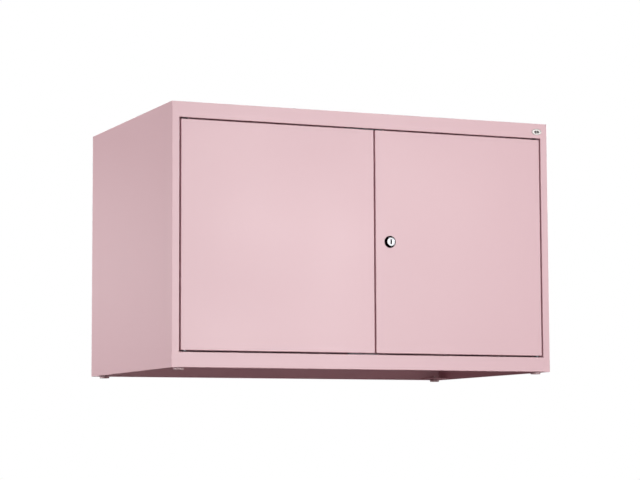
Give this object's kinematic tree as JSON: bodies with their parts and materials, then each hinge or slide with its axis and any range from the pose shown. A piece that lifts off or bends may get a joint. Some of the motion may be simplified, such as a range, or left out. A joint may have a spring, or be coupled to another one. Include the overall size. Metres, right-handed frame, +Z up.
{
  "type": "steel cabinet",
  "caption": "Low two-door sheet-steel cabinet with inset flush doors on pivot pins, a cam lock, slide bolts, one shelf and four glides.",
  "frame": {"origin": "middle of the carcass on the surface that the glides stand on", "axes": "+Z up, +X to the right as seen by someone who faces the doors, -Y out of the doors"},
  "size_m": [0.8, 0.506, 0.504],
  "materials": {
    "powder_coat": "satin pastel pink powder coat",
    "chrome": "polished chrome plate",
    "zinc_plate": "bright zinc plate",
    "black_nylon": "moulded black nylon",
    "glide_plastic": "moulded pinkish-grey plastic",
    "buffer_rubber": "moulded black rubber"
  },
  "bodies": {
    "carcass": {"left_side_panel": "powder_coat", "right_side_panel": "powder_coat", "top_panel": "powder_coat", "floor_panel": "powder_coat", "back_panel": "powder_coat", "left_front_corner_plate": "powder_coat", "right_front_corner_plate": "powder_coat", "left_rear_corner_plate": "powder_coat", "right_rear_corner_plate": "powder_coat", "left_front_glide": "glide_plastic", "right_front_glide": "glide_plastic", "left_rear_glide": "glide_plastic", "right_rear_glide": "glide_plastic", "left_top_hinge_bush": "black_nylon", "left_bottom_hinge_bush": "black_nylon", "right_top_hinge_bush": "black_nylon", "right_bottom_hinge_bush": "black_nylon", "top_stop_bracket": "zinc_plate", "bottom_stop_bracket": "zinc_plate", "left_top_buffer": "buffer_rubber", "right_top_buffer": "buffer_rubber", "left_bottom_buffer": "buffer_rubber", "right_bottom_buffer": "buffer_rubber", "badge": "chrome", "left_front_shelf_strip": "powder_coat", "left_rear_shelf_strip": "powder_coat", "right_front_shelf_strip": "powder_coat", "right_rear_shelf_strip": "powder_coat", "left_front_shelf_clip": "zinc_plate", "left_rear_shelf_clip": "zinc_plate", "right_front_shelf_clip": "zinc_plate", "right_rear_shelf_clip": "zinc_plate", "shelf": "powder_coat"},
    "left_door": {"left_door_panel": "powder_coat", "left_door_stiffener": "powder_coat", "left_top_hinge_pin": "zinc_plate", "left_bottom_hinge_pin": "zinc_plate", "top_bolt_guide": "zinc_plate", "bottom_bolt_guide": "zinc_plate"},
    "right_door": {"right_door_panel": "powder_coat", "right_door_stiffener": "powder_coat", "right_top_hinge_pin": "zinc_plate", "right_bottom_hinge_pin": "zinc_plate", "lock_body": "chrome", "lock_nut": "zinc_plate"},
    "lock_cylinder": {"lock_plug": "chrome", "lock_cam": "zinc_plate", "lock_cam_screw": "zinc_plate"},
    "top_slide_bolt": {"top_bolt": "zinc_plate"},
    "bottom_slide_bolt": {"bottom_bolt": "zinc_plate"}
  },
  "joints": [
    {"name": "left_door_hinge", "type": "hinge", "parent": "carcass", "child": "left_door", "pos_m": [-0.373, -0.244, 0.25], "axis": [0, 0, -1], "range_deg": [0, 110]},
    {"name": "right_door_hinge", "type": "hinge", "parent": "carcass", "child": "right_door", "pos_m": [0.373, -0.244, 0.25], "axis": [0, 0, 1], "range_deg": [0, 110]},
    {"name": "lock_turn", "type": "hinge", "parent": "right_door", "child": "lock_cylinder", "pos_m": [0.049, -0.25, 0.253], "axis": [0, 1, 0], "range_deg": [0, 90]},
    {"name": "top_bolt_slide", "type": "slide", "parent": "left_door", "child": "top_slide_bolt", "axis": [0, 0, 1], "range_m": [0, 0.012]},
    {"name": "bottom_bolt_slide", "type": "slide", "parent": "left_door", "child": "bottom_slide_bolt", "axis": [0, 0, -1], "range_m": [0, 0.012]}
  ]
}
